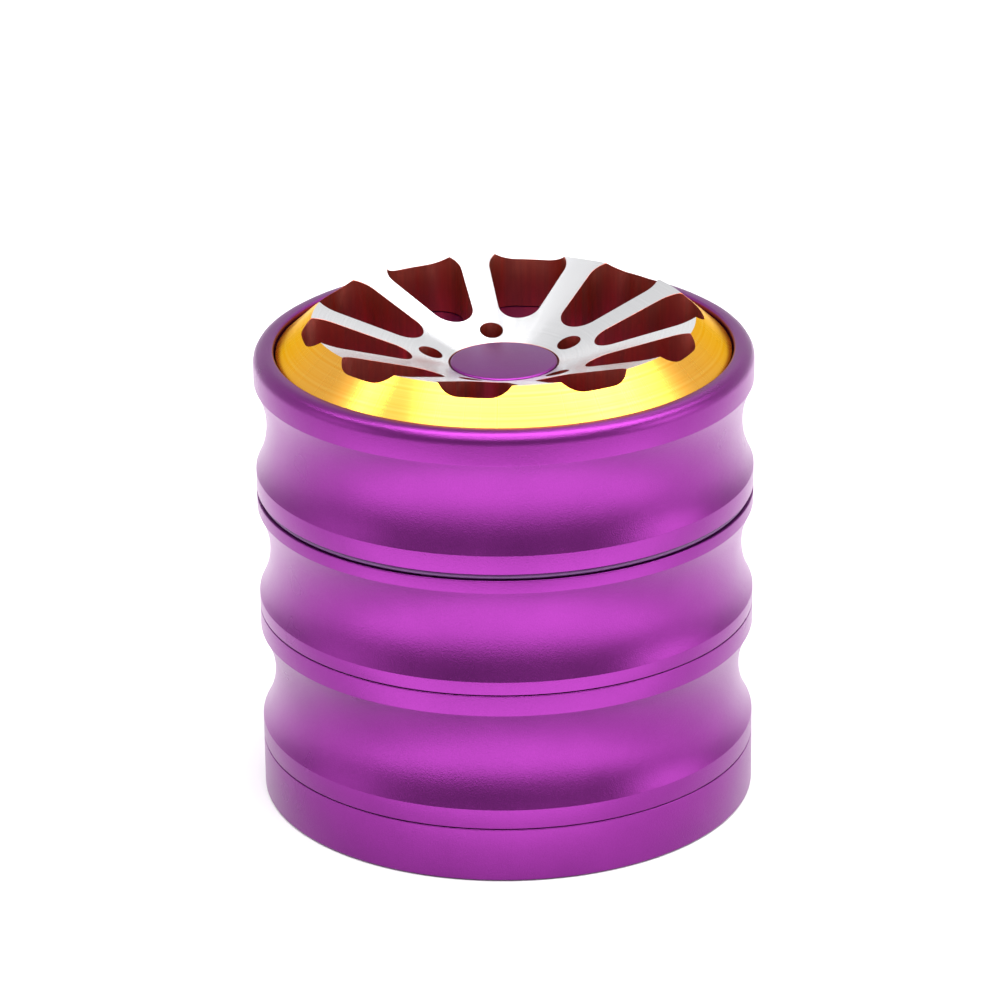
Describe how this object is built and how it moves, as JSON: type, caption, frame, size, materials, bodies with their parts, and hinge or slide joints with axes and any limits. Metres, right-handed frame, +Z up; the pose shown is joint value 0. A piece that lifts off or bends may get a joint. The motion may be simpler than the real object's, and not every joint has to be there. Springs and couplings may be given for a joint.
{
  "type": "herb grinder",
  "caption": "Round turned aluminium grinder in stacked screw-together sections with finger grooves, a toothed lid that spins, a screen, a powder cup and a spoked wheel insert on top.",
  "frame": {"origin": "centre of the flat underside of the powder cup", "axes": "+Z up along the axis of every section and of every joint; +Y away from the viewer at rest, +X to the right"},
  "size_m": [0.063, 0.063, 0.063],
  "materials": {
    "purple_anodised": "satin purple anodised",
    "gold_and_bright_aluminium": "gold anodised with a bright diamond-turned face",
    "stainless_mesh": "woven wire",
    "stainless_ring": "turned",
    "nickel_plate": "nickel plated",
    "dark_nylon": "moulded"
  },
  "bodies": {
    "powder_cup": {"base_cup": "purple_anodised"},
    "screen_ring": {"screen_retaining_ring": "stainless_ring"},
    "collection": {"collection_chamber": "purple_anodised", "screen_mesh": "stainless_mesh"},
    "hub_magnet": {"chamber_magnet": "nickel_plate"},
    "grinding": {"grinding_chamber": "purple_anodised"},
    "lid_ring": {"friction_ring": "dark_nylon"},
    "lid": {"lid_body": "purple_anodised", "lid_magnet": "nickel_plate", "wheel_insert": "gold_and_bright_aluminium", "wheel_centre_cap": "purple_anodised"}
  },
  "joints": [
    {"name": "collection_rise", "type": "slide", "parent": "powder_cup", "child": "screen_ring", "axis": [0, 0, 1], "range_m": [0, 0.00376]},
    {"name": "collection_unscrew", "type": "hinge", "parent": "screen_ring", "child": "collection", "pos_m": [0, 0, 0.0072], "axis": [0, 0, 1], "range_deg": [0, 900]},
    {"name": "grinding_rise", "type": "slide", "parent": "collection", "child": "hub_magnet", "axis": [0, 0, 1], "range_m": [0, 0.00376]},
    {"name": "grinding_unscrew", "type": "hinge", "parent": "hub_magnet", "child": "grinding", "pos_m": [0, 0, 0.0253], "axis": [0, 0, 1], "range_deg": [0, 900]},
    {"name": "lid_lift", "type": "slide", "parent": "grinding", "child": "lid_ring", "axis": [0, 0, 1], "range_m": [0, 0.03]},
    {"name": "lid_spin", "type": "hinge", "parent": "lid_ring", "child": "lid", "pos_m": [0, 0, 0.041], "axis": [0, 0, 1], "continuous": true}
  ],
  "couplings": [
    {"joint": "collection_rise", "follows": "collection_unscrew", "m_per_rad": 0.00023873},
    {"joint": "grinding_rise", "follows": "grinding_unscrew", "m_per_rad": 0.00023873}
  ]
}
